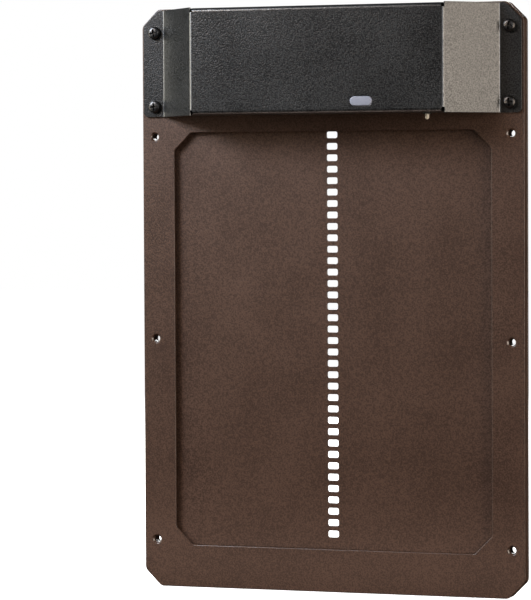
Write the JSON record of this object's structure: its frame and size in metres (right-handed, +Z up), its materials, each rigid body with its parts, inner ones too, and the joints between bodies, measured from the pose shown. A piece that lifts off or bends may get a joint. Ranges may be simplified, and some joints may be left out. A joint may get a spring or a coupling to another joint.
{
  "type": "automatic coop door",
  "caption": "Wall-mounted automatic coop door: a flat panel with a punched rack slides up between two frame sheets, driven by a motor and pinion under a folded metal hood with a push button.",
  "frame": {"origin": "on the wall plane, at the middle of the bottom rail of the rear frame sheet", "axes": "+X to the right seen from the front, +Y back into the wall, +Z up along the door's travel"},
  "size_m": [0.263, 0.0399, 0.385],
  "materials": {
    "brown_coat": "brown textured powder coat on flat sheet",
    "black_coat": "black leather-textured powder coat on folded sheet",
    "black_steel": "black oxide steel, half gloss",
    "zinc_steel": "bright zinc plate",
    "brass": "plain machined brass",
    "pale_plastic": "pale lavender-grey, slightly see-through",
    "lens_plastic": "clear, tinted by what is behind it",
    "rubber": "black moulded rubber",
    "nylon": "white moulded nylon",
    "black_plastic": "black moulded plastic",
    "circuit_board": "green solder mask on glass-fibre board",
    "cell_label": "plain dark label on a metal can",
    "red_lead": "red wire insulation"
  },
  "bodies": {
    "frame": {"front_frame_plate": "brown_coat", "rear_frame_plate": "brown_coat", "left_guide_strip": "brown_coat", "right_guide_strip": "brown_coat", "sill_strip": "brown_coat", "rear_screw_1": "black_steel", "rear_screw_2": "black_steel", "rear_screw_3": "black_steel", "rear_screw_4": "black_steel", "rear_screw_5": "black_steel", "rear_screw_6": "black_steel", "rear_screw_7": "black_steel", "rear_screw_8": "black_steel", "drive_bracket": "zinc_steel", "bracket_screw_1": "zinc_steel", "bracket_screw_2": "zinc_steel", "bracket_screw_3": "zinc_steel", "bracket_screw_4": "zinc_steel", "left_shaft_bush": "brass", "right_shaft_bush": "brass", "motor_gearbox": "brass", "motor_can": "zinc_steel", "battery_holder": "black_plastic", "holder_screw_1": "zinc_steel", "holder_screw_2": "zinc_steel", "aa_cell_1": "cell_label", "aa_cell_2": "cell_label", "battery_contact_1": "zinc_steel", "battery_contact_2": "zinc_steel", "battery_spring_1": "zinc_steel", "battery_spring_2": "zinc_steel", "circuit_board": "circuit_board", "radio_module": "zinc_steel", "control_chip": "black_plastic", "status_led": "pale_plastic", "board_post_1": "zinc_steel", "board_post_2": "zinc_steel", "board_screw_1": "zinc_steel", "board_screw_2": "zinc_steel", "battery_lead_1": "red_lead", "battery_lead_2": "black_plastic", "motor_lead_1": "red_lead", "motor_lead_2": "black_plastic", "push_switch": "black_plastic", "light_sensor": "lens_plastic", "sensor_grommet": "rubber", "hood_cover": "black_coat", "hood_screw_1": "black_steel", "hood_screw_2": "black_steel", "hood_screw_3": "black_steel", "hood_screw_4": "black_steel"},
    "door": {"door_panel": "brown_coat"},
    "drive": {"drive_shaft": "zinc_steel", "drive_pinion": "nylon", "drive_gear": "nylon"},
    "motor_output": {"motor_shaft": "zinc_steel", "motor_gear": "brass"},
    "button": {"button_cap": "pale_plastic", "switch_plunger": "nylon"}
  },
  "joints": [
    {"name": "door_slide", "type": "slide", "parent": "frame", "child": "door", "axis": [0, 0, 1], "range_m": [0, 0.2835]},
    {"name": "drive_spin", "type": "hinge", "parent": "frame", "child": "drive", "pos_m": [0, -0.01659, 0.3315], "axis": [1, 0, 0], "range_deg": [-1, 1362]},
    {"name": "motor_spin", "type": "hinge", "parent": "frame", "child": "motor_output", "pos_m": [0, -0.02469, 0.3423], "axis": [1, 0, 0], "range_deg": [-2724, 2]},
    {"name": "button_press", "type": "slide", "parent": "frame", "child": "button", "axis": [0, 1, 0], "range_m": [0, 0.0008], "stiffness_N_per_m": 2000}
  ],
  "couplings": [
    {"joint": "drive_spin", "follows": "door_slide", "rad_per_m": 83.776},
    {"joint": "motor_spin", "follows": "door_slide", "rad_per_m": -167.55}
  ]
}
